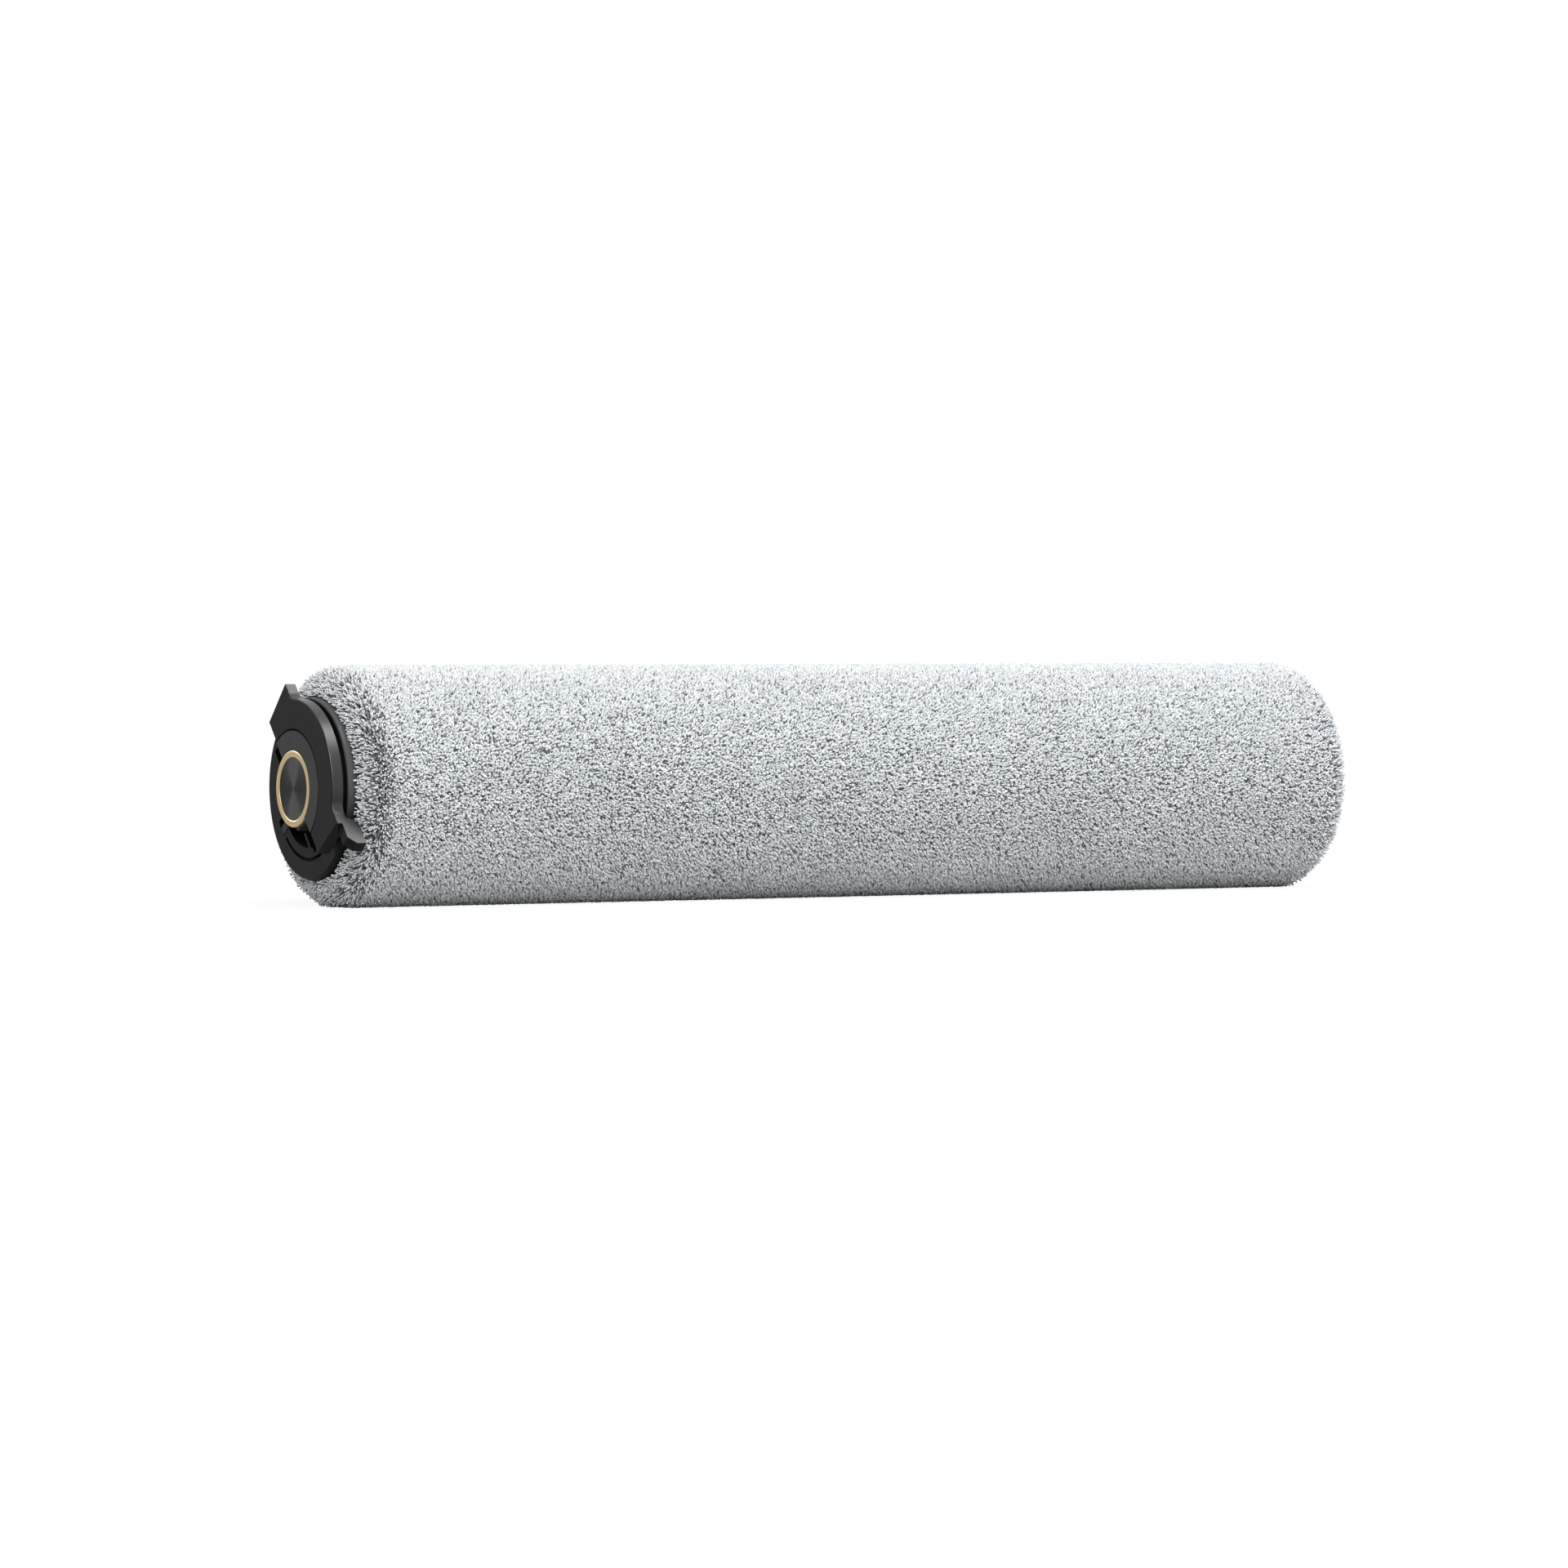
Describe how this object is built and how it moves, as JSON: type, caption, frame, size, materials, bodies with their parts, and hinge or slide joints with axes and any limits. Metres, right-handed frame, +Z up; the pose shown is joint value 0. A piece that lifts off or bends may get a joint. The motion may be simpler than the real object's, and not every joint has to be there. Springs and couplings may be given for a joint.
{
  "type": "vacuum mop roller",
  "caption": "Soft pile roller for a wet floor vacuum: cut microfibre sleeve on a tube, bearing end cap with a half-moon grip plate and sprung press button, keyed drive socket.",
  "frame": {"origin": "under the middle of the roller, on the surface that the flat spot of the pile rests on", "axes": "+X along the roller's axis towards the drive end, +Z up, -Y towards the viewer"},
  "size_m": [0.271, 0.055, 0.0543],
  "materials": {
    "pile": "cut microfibre pile",
    "tube": "extruded plastic",
    "moulding": "moulded black plastic",
    "plate": "fine-grained black plastic",
    "button": "satin dark grey plastic",
    "socket": "glass-filled plastic",
    "trim": "satin brass-coloured ring",
    "spun_metal": "dark anodised, spun",
    "steel": "ground steel",
    "seal": "moulded rubber"
  },
  "bodies": {
    "drum": {"pile_sleeve": "pile", "core_tube": "tube", "bearing_carrier": "moulding", "bearing_outer_race": "steel", "bearing_shields": "steel", "carrier_ring": "steel", "shaft_seal": "seal", "drive_plug": "moulding", "drive_socket": "socket"},
    "end_cap": {"cap_base": "moulding", "grip_plate": "plate", "grip_screws": "steel", "axle": "steel", "spacer_washer": "steel", "bearing_inner_race": "steel", "axle_ring": "steel", "return_spring": "steel"},
    "ball_cage": {"bearing_balls": "steel", "bearing_cage": "steel"},
    "press_button": {"press_plate": "button", "trim_ring": "trim", "spun_disc": "spun_metal", "stem_ring": "steel"}
  },
  "joints": [
    {"name": "roller_spin", "type": "hinge", "parent": "drum", "child": "end_cap", "pos_m": [-0.1355, 0, 0.02684], "axis": [1, 0, 0], "continuous": true},
    {"name": "cage_spin", "type": "hinge", "parent": "drum", "child": "ball_cage", "pos_m": [-0.1355, 0, 0.02684], "axis": [1, 0, 0], "continuous": true},
    {"name": "button_press", "type": "slide", "parent": "end_cap", "child": "press_button", "axis": [1, 0, 0], "range_m": [0, 0.002], "stiffness_N_per_m": 500, "springref_m": -0.002, "deforming": ["return_spring"]}
  ],
  "couplings": [
    {"joint": "cage_spin", "follows": "roller_spin", "ratio": 0.36767}
  ]
}
